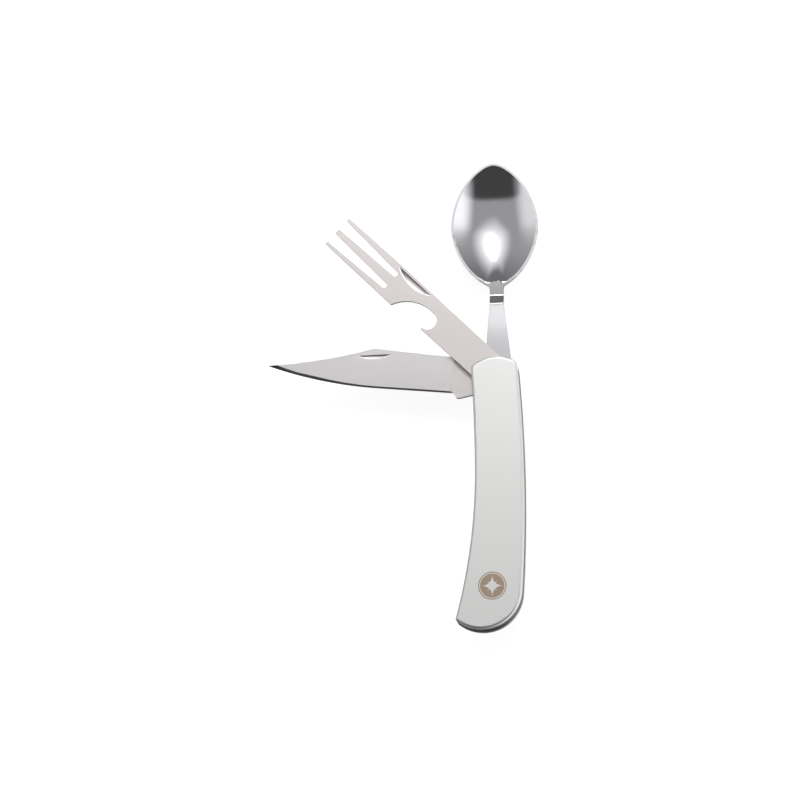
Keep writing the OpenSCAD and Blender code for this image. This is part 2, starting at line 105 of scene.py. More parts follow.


# %% [markdown]
# ## The finishes of stainless steel
# Every piece is the same metal, and only the last step of its making differs. The covers are
# glass-bead blasted, which scatters light evenly. The fork and blade are belt ground to a satin.
# The liners keep a coarser grind, and the springs are darker, which is painted shade between the
# liners. The rivet's parts are tumbled. Some steels carry painted light in their colour: painted
# shade on the fork, the tang, the nail nicks and the springs, painted dark reflections on the
# honed edge and the spoon's rim, and a painted highlight on the nicks' arcs.
# The spoon is buffed to a mirror. A metal shows no colour of its own but that of its
# reflections, so roughness does most of the work, and fine noise in it and in the bump makes
# light break up as it does on worked metal. The real grain is finer than the eye sees at this
# distance, about 0.05 mm, so it is drawn as 0.3 to 0.5 mm wide to show at all.

# %% Satin and polished steel
def steel(name, tint, roughness, spread, grain_mm, bump):
    """Steel whose roughness and height vary with a grain_mm wide grain, bump mm high."""
    material = bpy.data.materials.new(name)
    material.use_nodes = True
    tree = material.node_tree
    shader = tree.nodes["Principled BSDF"]
    shader.inputs["Base Color"].default_value = colour(tint)
    shader.inputs["Metallic"].default_value = 1
    place = add_node(tree, "ShaderNodeTexCoord").outputs["Object"]
    noise = add_node(tree, "ShaderNodeTexNoise", {
        "Vector": place, "Scale": 1 / (grain_mm * MM), "Detail": 3, "Roughness": 0.6})
    rough = add_node(tree, "ShaderNodeMapRange", {
        "Value": noise.outputs["Fac"], "From Min": 0.3, "From Max": 0.7,
        "To Min": roughness - spread, "To Max": roughness + spread})
    tree.links.new(rough.outputs[0], shader.inputs["Roughness"])
    relief = add_node(tree, "ShaderNodeBump", {
        "Height": noise.outputs["Fac"], "Strength": 1, "Distance": bump * MM})
    tree.links.new(relief.outputs[0], shader.inputs["Normal"])
    return material


# Blasted: an even pale grey. Ground: satin, the fork's a little warmer, and darker as painted
# shade.
# Honed: a crisp dark line, a painted dark reflection. Nick arc: a bright line, a painted
# highlight.
# Springs: dark as painted shade. Spoon rim: a dark outline, a painted dark reflection. Buffed: a
# mirror.
blasted = steel("bead_blasted_stainless_steel", "#ebebea", 0.44, 0.03, 0.5, 0.004)
# The fork's steel, also on the knife's flat tang: its darker tone is painted shade.
ground = steel("belt_ground_steel_painted_shade", "#d3cecd", 0.42, 0.06, 0.5, 0.012)
blade_ground = steel("fine_ground_stainless_steel", "#faf7f8", 0.38, 0.05, 0.5, 0.007)
# The honed band's dark colour is a painted dark reflection.
honed_painted_dark = steel("honed_stainless_steel", "#6a686c", 0.3, 0.04, 0.3, 0.004)
# The nick's arc is near white: a painted highlight.
nick_arc_painted_highlight = steel("nick_arc_steel_painted_highlight", "#f6f5f5", 0.5, 0.02, 0.3, 0.0)
edge_ground = steel("coarse_ground_stainless_steel", "#f0efee", 0.5, 0.06, 0.3, 0.006)
# The springs' dark colour is painted shade between the liners.
spring_steel_painted_shade = steel("springs_painted_shade", "#77716e", 0.4, 0.06, 0.3, 0.006)
tumbled = steel("tumbled_stainless_steel", "#d2d2d2", 0.3, 0.05, 0.4, 0.003)
mirror = steel("buffed_stainless_steel", "#e4e2e6", 0.09, 0.01, 3, 0.0)
# The spoon rim's dark colour is a painted dark reflection.
spoon_rim_painted_dark = steel("rim_steel_painted_dark_reflection", "#55535a", 0.42, 0.05, 0.3, 0.004)
print("finishes:", len(bpy.data.materials))

# %% [markdown]
# ## Nail nicks
# A nail nick is milled with a cutter that sinks deepest along the straight side of the nick and
# comes out at its arc. The deep corner sees little light, and that shade is painted into the
# colour: it follows the distance from the straight side, from dark to light, in a colour ramp.

# %% Nail nick steel with painted shade, darkest in the deep corner
def nick_axes(tool_dir, slope):
    """Along the tool, across it towards its back, and down the nick from its straight side."""
    along = Vector((cos(tool_dir), sin(tool_dir), 0))
    back = Vector((sin(tool_dir), -cos(tool_dir), 0))
    return along, back, along * sin(slope) - back * cos(slope)


def nick_painted_shade_steel(name, nick, painted_shades):
    """Steel painted dark at the deep straight side of a nick and lighter to its arc: painted
    shade.
    """
    tool_dir, middle, slope, _, height = nick
    material = steel(name, "#808080", 0.36, 0.05, 0.3, 0.006)
    tree = material.node_tree
    along, back, down = nick_axes(tool_dir, slope)
    corner = (along * middle[0] + back * middle[1]) * MM
    place = add_node(tree, "ShaderNodeTexCoord").outputs["Object"]
    depth = add_node(tree, "ShaderNodeVectorMath", {0: place, 1: down}, operation="DOT_PRODUCT")
    share = add_node(tree, "ShaderNodeMapRange", {
        "Value": depth.outputs["Value"], "From Min": corner.dot(down),
        "From Max": corner.dot(down) + height * MM, "To Min": 0, "To Max": 1}).outputs[0]
    # The colour ramp paints the nick's shade: darkest by the straight side, lighter to the arc.
    ramp = add_node(tree, "ShaderNodeValToRGB", {"Fac": share})
    bands = ramp.color_ramp.elements
    bands[0].color, bands[1].color = colour(painted_shades[0]), colour(painted_shades[-1])
    bands[0].position = PAINTED_SHADE_END
    bands.new(PAINTED_SHADE_FADE).color = colour(painted_shades[1])
    tree.links.new(ramp.outputs["Color"], tree.nodes["Principled BSDF"].inputs["Base Color"])
    return material


# Direction of the tool, middle of the straight side, its slope, and the nick's length and height
FORK_NICK = (radians(136.2), (49.2, 5.6), 0.0, 17.6, 2.6)
KNIFE_NICK = (radians(174.9), (48.9, 5.4), radians(-6.9), 15.8, 2.8)
# Where the painted shade's darkest band ends and where it fades, as shares of the nick's height.
PAINTED_SHADE_END, PAINTED_SHADE_FADE = 0.12, 0.3
# Each nick steel paints shade into the nick, with three tones from dark to light.
fork_nick_painted_shade = nick_painted_shade_steel("fork_nick_steel_with_painted_shade", FORK_NICK, ("#4c484a", "#5d595b", "#bdb8b8"))
knife_nick_painted_shade = nick_painted_shade_steel("knife_nick_steel_with_painted_shade", KNIFE_NICK, ("#3a3638", "#a8a4a6", "#b4b0b2"))
print("nick steels:", fork_nick_painted_shade.name, knife_nick_painted_shade.name)

# %% [markdown]
# ## A satin shank on a mirror bowl
# The buffing wheel reaches the bowl and misses the shank, which stays satin, and most so near
# the step. One material does both: its roughness grows along the shank by the place on it.

# %% The shank is less polished than the bowl
SHANK_DULL, SHANK_WORN = 0.24, 0.02
WORN_TO, DULL_FROM = 12 * MM, 24 * MM
DULL_TO, BUFFED_FROM = 29 * MM, 31 * MM


def satin_shank(material):
    """Adds roughness along the shank, and none past the step."""
    tree = material.node_tree
    shader = tree.nodes["Principled BSDF"]
    before = shader.inputs["Roughness"].links[0].from_socket
    place = add_node(tree, "ShaderNodeTexCoord").outputs["Object"]
    along = add_node(tree, "ShaderNodeSeparateXYZ", {"Vector": place}).outputs[1]
    dull = add_node(tree, "ShaderNodeMapRange", {
        "Value": along, "From Min": WORN_TO, "From Max": DULL_FROM, "To Min": SHANK_WORN,
        "To Max": SHANK_DULL}).outputs[0]
    kept = add_node(tree, "ShaderNodeMapRange", {
        "Value": along, "From Min": DULL_TO, "From Max": BUFFED_FROM, "To Min": 1,
        "To Max": 0}).outputs[0]
    extra = math_node(tree, "MULTIPLY", dull, kept)
    tree.links.new(math_node(tree, "ADD", before, extra), shader.inputs["Roughness"])


satin_shank(mirror)
print("satin from", DULL_FROM / MM, "to", DULL_TO / MM, "mm along the shank")

# %% [markdown]
# ## The etched emblem
# A round tan emblem is etched into the front cover near the tail. It has no thickness, so it is
# drawn in the cover's material: a disc around a point of the cover, and in it an eight-pointed
# compass star left in bare steel. A star with hollow sides is where the square roots of the two
# distances from its centre add up to less than that of its reach.

# %% Draw the emblem into the cover's steel
EMBLEM_AT = Vector((-1.4, -83.5, 0)) * MM
EMBLEM_R = 5.5 * MM
STAR_REACH = (4.6 * MM, 3.1 * MM)
RING_R = 4.9 * MM
RING_HALF_WIDTH = 0.16 * MM


def star_mask(tree, place, reach, turned):
    """1 inside a four-pointed star about the place's zero, 0 outside it."""
    facing = add_node(tree, "ShaderNodeMapping", {"Vector": place, "Rotation": (0, 0, turned)})
    parts = add_node(tree, "ShaderNodeSeparateXYZ", {"Vector": facing.outputs[0]})
    roots = [math_node(tree, "POWER", math_node(tree, "ABSOLUTE", parts.outputs[i]), 0.5)
             for i in (0, 1)]
    return math_node(tree, "LESS_THAN", math_node(tree, "ADD", *roots), sqrt(reach))


def etch_emblem(material):
    """Colours the emblem's disc and leaves its star and ring bare."""
    tree = material.node_tree
    shader = tree.nodes["Principled BSDF"]
    bare = tuple(shader.inputs["Base Color"].default_value)
    place = add_node(tree, "ShaderNodeTexCoord").outputs["Object"]
    centred = add_node(tree, "ShaderNodeVectorMath", {0: place, 1: EMBLEM_AT},
                       operation="SUBTRACT").outputs[0]
    flat = add_node(tree, "ShaderNodeVectorMath", {0: centred, 1: (1, 1, 0)},
                    operation="MULTIPLY").outputs[0]
    far = add_node(tree, "ShaderNodeVectorMath", {0: flat}, operation="LENGTH").outputs["Value"]
    disc = math_node(tree, "LESS_THAN", far, EMBLEM_R)
    ring = math_node(tree, "LESS_THAN", math_node(
        tree, "ABSOLUTE", math_node(tree, "SUBTRACT", far, RING_R)), RING_HALF_WIDTH)
    stars = math_node(tree, "MAXIMUM", star_mask(tree, flat, STAR_REACH[0], 0),
                      star_mask(tree, flat, STAR_REACH[1], radians(45)))
    kept = math_node(tree, "MAXIMUM", stars, ring)
    height = add_node(tree, "ShaderNodeSeparateXYZ", {"Vector": place}).outputs[2]
    front = math_node(tree, "GREATER_THAN", height, -0.4 * MM)
    etched = math_node(tree, "MULTIPLY", math_node(tree, "SUBTRACT", disc, kept), front)
    mix = add_node(tree, "ShaderNodeMix", {
        "Factor": math_node(tree, "MAXIMUM", etched, 0.0)}, data_type="RGBA")
    mix.inputs[6].default_value = bare
    mix.inputs[7].default_value = colour("#b3a08c")
    tree.links.new(mix.outputs[2], shader.inputs["Base Color"])


etch_emblem(blasted)
print("emblem: radius", EMBLEM_R / MM, "mm at", [round(v / MM, 1) for v in EMBLEM_AT])

# %% [markdown]
# ## Pieces that keep their solid
# Flat steel pieces already have the right outline, but a real stamped or ground piece never has
# a perfectly sharp edge: the tiny rounding is what draws the bright line round it. So each of
# these pieces is a merged copy of its solid whose sharp edges get a small bevel. The bevel skips
# the knife's cutting edge, which is far sharper than a right angle.

# %% Copy a solid, merge it and break its edges
NICK, ARRIS, TANG, HONED = 1, 2, 3, 4
ARRIS_WIDTH, HONED_NARROWER, TIP_KEPT = 0.2 * MM, 0.4, 2 * MM


def add_piece(mesh, name, material, body, node):
    """Makes an object of the mesh that rides on its body and stands for the node."""
    piece = bpy.data.objects.new(name, mesh)
    scene.collection.objects.link(piece)
    if not mesh.materials:
        mesh.materials.append(material)
    even = piece.modifiers.new("even_normals", "WEIGHTED_NORMAL")
    even.keep_sharp = True
    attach(piece, body)
    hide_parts(node)
    return piece


def merged_solid(node):
    """The node's triangles, joined and with its flat faces whole again."""
    bm = bmesh.new()
    bm.from_mesh(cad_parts[node].data)
    bmesh.ops.remove_doubles(bm, verts=bm.verts, dist=0.002 * MM)
    bmesh.ops.dissolve_limit(bm, angle_limit=radians(0.4), verts=bm.verts, edges=bm.edges)
    return bm


def dressed_copy(node, name, material, body, bevel_mm, nick=None, extra=()):
    """A copy of a node with its corners bevelled, its nail nick and other faces marked."""
    mesh = bpy.data.meshes.new(name)
    bm = merged_solid(node)
    for each in (material,) + tuple(extra):
        mesh.materials.append(each)
    if honed_painted_dark in extra:
        mark_blade(bm)
    if nick:
        mark_nick(bm, nick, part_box(node)[1][2])
    corners = [e for e in bm.edges if e.is_manifold
               and radians(40) < e.calc_face_angle() < radians(125)]
    bmesh.ops.bevel(bm, geom=corners, offset=bevel_mm * MM, offset_type="OFFSET", segments=2,
                    profile=0.5, affect="EDGES", clamp_overlap=True, material=-1)
    shade(bm)
    bm.to_mesh(mesh)
    bm.free()
    print(name, "faces:", len(mesh.polygons))
    return add_piece(mesh, name, material, body, node)


def mark_blade(bm):
    """The flat tang gets the fork's darker steel, painted shade, and the honed edge a dark steel,
    a painted dark reflection.
    """
    for face in bm.faces:
        # The up-facing flat tang gets the fork's darker steel: painted shade.
        if face.normal.z > 0.9999 and face.calc_area() > 20 * MM * MM:
            face.material_index = TANG
        # The honed band gets a dark steel: a painted dark reflection.
        if 0.3 < abs(face.normal.z) < 0.985 and face.calc_area() > 0.5 * MM * MM:
            face.material_index = HONED
    narrow_edge(bm, [f for f in bm.faces if f.material_index == HONED], HONED_NARROWER)


def narrow_edge(bm, honed_faces, share):
    """Brings the upper line of the honed edge nearer to the cutting edge, but not at the tip."""
    middle = sum(v.co.z for f in honed_faces for v in f.verts) / sum(
        len(f.verts) for f in honed_faces)
    moves = {}
    for face in honed_faces:
        for edge in face.edges:
            low, high = sorted(edge.verts, key=lambda v: abs(v.co.z - middle))
            if abs(high.co.z - low.co.z) > 0.05 * MM and low.co.y < high.co.y + 0.5 * MM:
                moves.setdefault(high, []).append(low.co.copy())
    tip = min(v.co.x for v in bm.verts)
    for vert, ends in moves.items():
        if vert.co.x > tip + TIP_KEPT:
            vert.co += share * (sum(ends, Vector()) / len(ends) - vert.co)
    print("honed edge narrowed at", len(moves), "points")


def mark_nick(bm, nick, top):
    """The nick's faces get the second material, its painted shade, and its arc a near-white third
    one, a painted highlight.
    """
    tool_dir, middle, slope, length, height = nick
    along, back, down = nick_axes(tool_dir, slope)
    corner = (along * middle[0] + back * middle[1]) * MM

    def inside(co):
        way = co - corner
        return (-0.3 * MM < way.dot(down) < (height + 0.3) * MM
                and (way - down * way.dot(down)).xy.length < (length / 2 + 0.5) * MM)

    floor = [f for f in bm.faces if all(inside(v.co) for v in f.verts)
             and min(v.co.z for v in f.verts) > top - 1.2 * MM
             and min(v.co.z for v in f.verts) < top - 0.01 * MM]
    for face in floor:
        face.material_index = NICK
    rim = [e for e in bm.edges if e.is_manifold and e.calc_face_angle() < radians(40)
           and sum(f in floor for f in e.link_faces) == 1]
    # The arc's bevel gets the near-white steel: a painted highlight.
    bmesh.ops.bevel(bm, geom=rim, offset=ARRIS_WIDTH, offset_type="OFFSET", segments=1,
                    profile=0.5, affect="EDGES", clamp_overlap=True, material=ARRIS)
    print("nick faces:", len(floor), "arc edges:", len(rim))


def shade(bm, sharp_above=32):
    """Smooth shading with sharp edges above the angle, in degrees."""
    for face in bm.faces:
        face.smooth = True
    for edge in bm.edges:
        edge.smooth = not edge.is_manifold or edge.calc_face_angle() < radians(sharp_above)


# %% [markdown]
# ## The front cover
# The cover is a thick plate whose front corner is rounded over by tumbling and blasting. That
# rounding is much larger than a broken edge, so the cover is drawn again from the solid's back
# outline: one face, extruded to the thickness, with a wide bevel at the front.

# %% Round the front cover
def front_cover(rounding_mm, arris_mm):
    """The solid's back outline, drawn up to its thickness and rounded at the front."""
    bm = merged_solid("front_cover")
    low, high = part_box("front_cover")[0][2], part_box("front_cover")[1][2]
    back = min(bm.faces, key=lambda f: f.calc_center_median().z)
    outline = [v.co.copy() for v in back.verts]
    bm.free()
    bm = bmesh.new()
    base = bm.faces.new([bm.verts.new((co.x, co.y, low)) for co in outline])
    grown = bmesh.ops.extrude_face_region(bm, geom=[base])
    for part in grown["geom"]:
        if isinstance(part, bmesh.types.BMVert):
            part.co.z = high
    bmesh.ops.recalc_face_normals(bm, faces=bm.faces)
    top = [e for e in bm.edges if all(v.co.z > high - 1e-6 for v in e.verts)]
    bmesh.ops.bevel(bm, geom=top, offset=rounding_mm * MM, offset_type="OFFSET", segments=7,
                    profile=0.5, affect="EDGES", clamp_overlap=True, material=-1)
    bottom = [e for e in bm.edges if all(v.co.z < low + 1e-6 for v in e.verts)]
    bmesh.ops.bevel(bm, geom=bottom, offset=arris_mm * MM, offset_type="OFFSET", segments=2,
                    profile=0.5, affect="EDGES", clamp_overlap=True, material=-1)
    shade(bm)
    mesh = bpy.data.meshes.new("front_cover_satin")
    bm.to_mesh(mesh)
    bm.free()
    print("front_cover_satin faces:", len(mesh.polygons))
    return add_piece(mesh, "front_cover_satin", blasted, "handle", "front_cover")


front_cover(1.1, 0.12)

# %% [markdown]
# ## The plates and pins of the handle
# Liners, springs and pins are stamped or turned and then tumbled, which only just breaks their
# edges. The liners' edges stay bright between the springs, whose dark colour is painted shade,
# and this draws the lines that show along the handle's side.

# %% The back cover, liners, springs and pins
dressed_copy("back_cover", "back_cover_satin", blasted, "handle", 0.1)
for node in ("front_liner", "middle_liner", "back_liner"):
    dressed_copy(node, node + "_ground", edge_ground, "handle", 0.12)
for node in ("fork_spring", "knife_spring"):
    # The springs take a dark steel: painted shade between the liners.
    dressed_copy(node, node + "_ground", spring_steel_painted_shade, "handle", 0.06)
for node in ("pivot_pin", "centre_pin", "tail_pin", "spring_washer", "rivet_washer",
             "spoon_stop_pin"):
    dressed_copy(node, node + "_tumbled", tumbled, "handle", 0.08)

# %% [markdown]
# ## Fork and knife
# Both are ground from strip, and both have a nail nick. The knife's flat tang takes the fork's
# steel, whose darker tone is painted shade. The blade's edge is honed in a narrow band, whose
# dark colour is a painted dark reflection, a thin dark line from above. The nick's faces and the
# honed band are found by the way that they face, and get their own steels.

# %% Fork and knife, with their nail nicks
dressed_copy("fork", "fork_satin", ground, "fork", 0.16, FORK_NICK, (fork_nick_painted_shade, nick_arc_painted_highlight))
dressed_copy("knife_blade", "knife_satin", blade_ground, "knife", 0.08, KNIFE_NICK,
             (knife_nick_painted_shade, nick_arc_painted_highlight, ground, honed_painted_dark))

# %% [markdown]
# ## The spoon
# The bowl is drawn in a press from the same strip as the shank, so it is one wall that flows out
# of the neck. A mirror finish shows every facet, so the bowl isn't taken from the solid. It is
# made of fine rings about its deepest point, which widen to the edge of the hollow and then to
# the outline; between the two lies a narrow flat lip. Towards the neck the rings stop at a
# straight row, and from it more rows run back to the step that joins the shank. The whole sheet
# is then extruded to the wall's thickness. The flat shank is cut from the solid.

# %% The bowl's form, by the solid's own sizes
SPOON_DIR = radians(91.5)
SPOON_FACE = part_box("spoon")[1][2]
# Deepest point from the pivot, half width, and reach to the front and to the back
BOWL_AT, BOWL_HALF_W, BOWL_FRONT, BOWL_BACK, BOWL_DEPTH = 61.5, 17.13, 25.38, 24.3, 6.2
# The outside keeps the solid's depth, and the wall is thicker at the bottom
BOWL_OUTSIDE_DEPTH = 7.2
BOWL_WALL, SHANK_T, NECK_HALF_W = 1.2, 1.5, 2.7
# The step that lets the shank lie over the rivet
JOGGLE_AT, JOGGLE_LEN, JOGGLE_DROP = 30.4, 3.8, 1.7
# Where the neck runs into the hollow, how round its end is, and the straight row of the rings
TONGUE_END, TONGUE_BEND, NECK_ROW = 39.5, 0.1, 36.6
LIP = 0.95
NECK_TILT = 0.06
RINGS, SPOKES, NECK_SPOKES, NECK_ROWS = 90, 150, 14, 26
HOLLOW_ROUNDING, RIM_ROUNDING, SHANK_ROUNDING = 0.18, 0.36, 0.18


def egg_half_width(u):
    """Half the width of the egg at the distance u from the pivot, in millimetres."""
    x = (BOWL_AT - u) / BOWL_BACK if u < BOWL_AT else (u - BOWL_AT) / BOWL_FRONT
    return BOWL_HALF_W * max(0, 1 - min(1, x) ** 1.8) ** 0.6


def spoon_half_width(u):
    """The egg, blended with the neck behind its widest place."""
    egg = egg_half_width(u)
    return (egg ** 4 + NECK_HALF_W ** 4) ** 0.25 if u < BOWL_AT else egg


def reach_to(half_width, turn):
    """Distance from the bowl's deepest point to an outline, by halving the interval."""
    low, high = 0.0, 60.0
    for _ in range(40):
        r = (low + high) / 2
        inside = abs(r * sin(turn)) < half_width(BOWL_AT + r * cos(turn)) - 1e-9
        low, high = (r, high) if inside else (low, r)
    return low


def outer_reach(turn):
    """Distance to the outline, or to the straight row across the neck."""
    r = reach_to(spoon_half_width, turn)
    return min(r, (NECK_ROW - BOWL_AT) / cos(turn)) if cos(turn) < -0.1 else r


def inner_reach(turn):
    """Distance to the edge of the hollow: a lip inside the egg, with a tongue at the neck."""
    egg = reach_to(egg_half_width, turn) - LIP
    if cos(turn) > -0.5:
        return egg
    tongue = egg
    for _ in range(30):
        v = tongue * sin(turn)
        tongue = (TONGUE_END - TONGUE_BEND * v * v - BOWL_AT) / cos(turn)
        tongue = min(tongue, 40)
    blend = max(0, 1 - abs(egg - tongue) / 2)
    return min(egg, tongue) - 0.5 * blend * blend


def smooth_step(x):
    """Rises from 0 to 1 with level ends."""
    x = min(1, max(0, x))
    return x * x * (3 - 2 * x)


def even_step(x, bend=0.07):
    """Rises from 0 to 1 in a straight slope, with a short bend at either end."""
    x = min(1, max(0, x))
    slope = 1 / (1 - bend)
    if x < bend:
        return slope * x * x / (2 * bend)
    if x > 1 - bend:
        return 1 - slope * (1 - x) ** 2 / (2 * bend)
    return slope * (x - bend / 2)


def rim_height(u):
    """Height of the flat parts: the step, the tilted neck and the level lip."""
    dip = max(0, TONGUE_END + 1 - max(u, JOGGLE_AT + JOGGLE_LEN))
    level = -JOGGLE_DROP - NECK_TILT * dip * dip / (dip + 2)
    return level * even_step((u - JOGGLE_AT) / JOGGLE_LEN)


# %% Draw the bowl in rings and give it a wall
def bowl_sheet(bm):
    """The upper face of the bowl and neck; returns the edges round the hollow."""
    corner = pi - atan(spoon_half_width(NECK_ROW) / (BOWL_AT - NECK_ROW))
    half = [corner * i / SPOKES for i in range(SPOKES)]
    half += [corner + (pi - corner) * i / NECK_SPOKES for i in range(NECK_SPOKES)]
    turns = half + [pi] + [-t for t in half[:0:-1]]
    spans = [(inner_reach(t), outer_reach(t)) for t in turns]
    centre = bm.verts.new((BOWL_AT, 0, rim_height(BOWL_AT) - BOWL_DEPTH))
    rings = []
    eggs = [reach_to(egg_half_width, t) - LIP for t in turns]
    for i in range(1, RINGS + 1):
        share = i / RINGS
        bend = smooth_step((share - 0.45) / 0.55)
        ring = []
        for t, egg, (inner, _) in zip(turns, eggs, spans):
            r = share * (egg + (inner - egg) * bend)
            u = BOWL_AT + r * cos(t)
            sunk = 1 - share ** (2.05 + 0.08 * cos(t))
            ring.append(bm.verts.new((u, r * sin(t), rim_height(u) - BOWL_DEPTH * sunk)))
        rings.append(ring)
    for share in (0.5, 1.0):
        ring = []
        for t, (inner, outer) in zip(turns, spans):
            r = inner + (outer - inner) * share
            u = BOWL_AT + r * cos(t)
            ring.append(bm.verts.new((u, r * sin(t), rim_height(u))))
        rings.append(ring)
    count = len(turns)
    for k in range(count):
        bm.faces.new((centre, rings[0][k], rings[0][(k + 1) % count]))
        for near, wide in zip(rings, rings[1:]):
            bm.faces.new((near[k], wide[k], wide[(k + 1) % count], near[(k + 1) % count]))
    row = rings[-1][SPOKES : SPOKES + 2 * NECK_SPOKES + 1]
    for i in range(1, NECK_ROWS + 1):
        u = NECK_ROW + (JOGGLE_AT - NECK_ROW) * i / NECK_ROWS
        scale = spoon_half_width(u) / spoon_half_width(NECK_ROW)
        back = [bm.verts.new((u, vert.co.y * scale, rim_height(u))) for vert in
                rings[-1][SPOKES : SPOKES + 2 * NECK_SPOKES + 1]]
        for k in range(len(row) - 1):
            bm.faces.new((row[k], back[k], back[k + 1], row[k + 1]))
        row = back
    edge = rings[RINGS - 1]
    return [bm.edges.get((edge[k], edge[(k + 1) % count])) for k in range(count)]


def make_spoon():
    """The whole spoon: the drawn bowl, and the shank cut from the solid."""
    bm = bmesh.new()
    hollow_edge = bowl_sheet(bm)
    bmesh.ops.bevel(bm, geom=hollow_edge, offset=HOLLOW_ROUNDING, offset_type="OFFSET",
                    segments=4, profile=0.5, affect="EDGES", clamp_overlap=True, material=-1)
    bmesh.ops.recalc_face_normals(bm, faces=bm.faces)
    grown = bmesh.ops.extrude_face_region(bm, geom=bm.faces[:])
    for part in grown["geom"]:
        if isinstance(part, bmesh.types.BMVert):
            wall = SHANK_T + (BOWL_WALL - SHANK_T) * smooth_step((part.co.x - JOGGLE_AT) / 9)
            sunk = max(0, rim_height(part.co.x) - part.co.z) / BOWL_DEPTH
            part.co.z -= wall + (BOWL_OUTSIDE_DEPTH - BOWL_DEPTH) * sunk
    bmesh.ops.recalc_face_normals(bm, faces=bm.faces)
    rim = [e for e in bm.edges if e.is_manifold and e.calc_face_angle() > radians(50)
           and min(v.co.x for v in e.verts) > JOGGLE_AT - 0.01
           and max(v.co.x for v in e.verts) > JOGGLE_AT + 0.01]
    # The rim's rounding takes the second, dark steel: a painted dark reflection.
    bmesh.ops.bevel(bm, geom=rim, offset=RIM_ROUNDING, offset_type="OFFSET", segments=3,
                    profile=0.5, affect="EDGES", clamp_overlap=True, material=1)
    place = (Matrix.Translation((0, 0, SPOON_FACE)) @ Matrix.Rotation(SPOON_DIR, 4, "Z")
             @ Matrix.Scale(MM, 4))
    bmesh.ops.transform(bm, matrix=place, verts=bm.verts)

    shank = bmesh.new()
    shank.from_mesh(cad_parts["spoon"].data)
    bmesh.ops.remove_doubles(shank, verts=shank.verts, dist=0.002 * MM)
    along = Vector((cos(SPOON_DIR), sin(SPOON_DIR), 0))
    cut = bmesh.ops.bisect_plane(
        shank, geom=shank.verts[:] + shank.edges[:] + shank.faces[:], plane_no=along,
        plane_co=along * JOGGLE_AT * MM, clear_outer=True)
    rim = [g for g in cut["geom_cut"] if isinstance(g, bmesh.types.BMEdge)]
    bmesh.ops.holes_fill(shank, edges=rim)
    bmesh.ops.dissolve_limit(shank, angle_limit=radians(0.4), verts=shank.verts,
                             edges=shank.edges)
    corners = [e for e in shank.edges if e.is_manifold
               and radians(40) < e.calc_face_angle() < radians(125)
               and min(v.co.dot(along) for v in e.verts) < (JOGGLE_AT - 0.01) * MM]
    bmesh.ops.bevel(shank, geom=corners, offset=SHANK_ROUNDING * MM, offset_type="OFFSET",
                    segments=2, profile=0.5, affect="EDGES", clamp_overlap=True, material=-1)
    flat = bpy.data.meshes.new("shank")
    shank.to_mesh(flat)
    shank.free()
    bm.from_mesh(flat)
    bpy.data.meshes.remove(flat)
    shade(bm)
    mesh = bpy.data.meshes.new("spoon_polished")
    # The mirror, and the dark steel of the rim's painted dark reflection.
    for finish in (mirror, spoon_rim_painted_dark):
        mesh.materials.append(finish)
    bm.to_mesh(mesh)
    bm.free()
    return add_piece(mesh, "spoon_polished", mirror, "spoon", "spoon")


spoon = make_spoon()
print("spoon faces:", len(spoon.data.polygons))

# %% [markdown]
# ## The table
# The table lies level, just below the lowest point of the bowl. The tools turn about an upright
# axis, so they clear it however they are folded. It is white to the camera and still takes a soft
# shadow. The steel reflects a dim grey table, which draws the dark lines on the edges, with a
# sheen of window light on its right half.

# %% A white table that keeps the shadow
def table_material():
    """White to the camera with a soft shadow; a dim grey table in every reflection."""
    material = bpy.data.materials.new("white_table")
    material.use_nodes = True
    tree = material.node_tree
    tree.nodes.remove(tree.nodes["Principled BSDF"])
    camera_ray = add_node(tree, "ShaderNodeLightPath").outputs["Is Camera Ray"]
    glossy_ray = add_node(tree, "ShaderNodeLightPath").outputs["Is Glossy Ray"]
    place = add_node(tree, "ShaderNodeTexCoord").outputs["Object"]
    right = add_node(tree, "ShaderNodeSeparateXYZ", {"Vector": place}).outputs[0]
    side = add_node(tree, "ShaderNodeMapRange", {
        "Value": right, "From Min": SHEEN_FROM, "From Max": SHEEN_FULL, "To Min": 0,
        "To Max": TABLE_SHEEN}).outputs[0]
    shown = math_node(tree, "ADD", math_node(tree, "MULTIPLY", camera_ray, TABLE_GLOW),
                      math_node(tree, "MULTIPLY", glossy_ray, side))
    glow = add_node(tree, "ShaderNodeEmission", {"Strength": shown})
    matt = add_node(tree, "ShaderNodeBsdfDiffuse", {"Color": colour(TABLE_GREY)})
    both = add_node(tree, "ShaderNodeAddShader", {0: glow.outputs[0], 1: matt.outputs[0]})
    tree.links.new(both.outputs[0], tree.nodes["Material Output"].inputs["Surface"])
    return material


def plane_object(name, material, size, matrix):
    """A flat square of the given half size, put in place by the matrix."""
    mesh = bpy.data.meshes.new(name)
    bm = bmesh.new()
    bmesh.ops.create_grid(bm, x_segments=1, y_segments=1, size=1)
    bmesh.ops.transform(bm, matrix=matrix @ Matrix.Diagonal((size[0], size[1], 1, 1)),
                        verts=bm.verts)
    bm.to_mesh(mesh)
    bm.free()
    mesh.materials.append(material)
    piece = bpy.data.objects.new(name, mesh)
    scene.collection.objects.link(piece)
    return piece


TABLE_GLOW, TABLE_GREY, TABLE_SHEEN = 0.86, "#b4b4b4", 0.75
SHEEN_FROM, SHEEN_FULL = 4 * MM, 16 * MM
TABLE_HALF = 6
table_height = min(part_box("spoon")[0][2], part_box("back_cover")[0][2]) - 0.1 * MM
table = plane_object("table", table_material(), (TABLE_HALF, TABLE_HALF),
                     Matrix.Translation((0, 0, table_height)))
print("table height:", round(table_height / MM, 2), "mm")

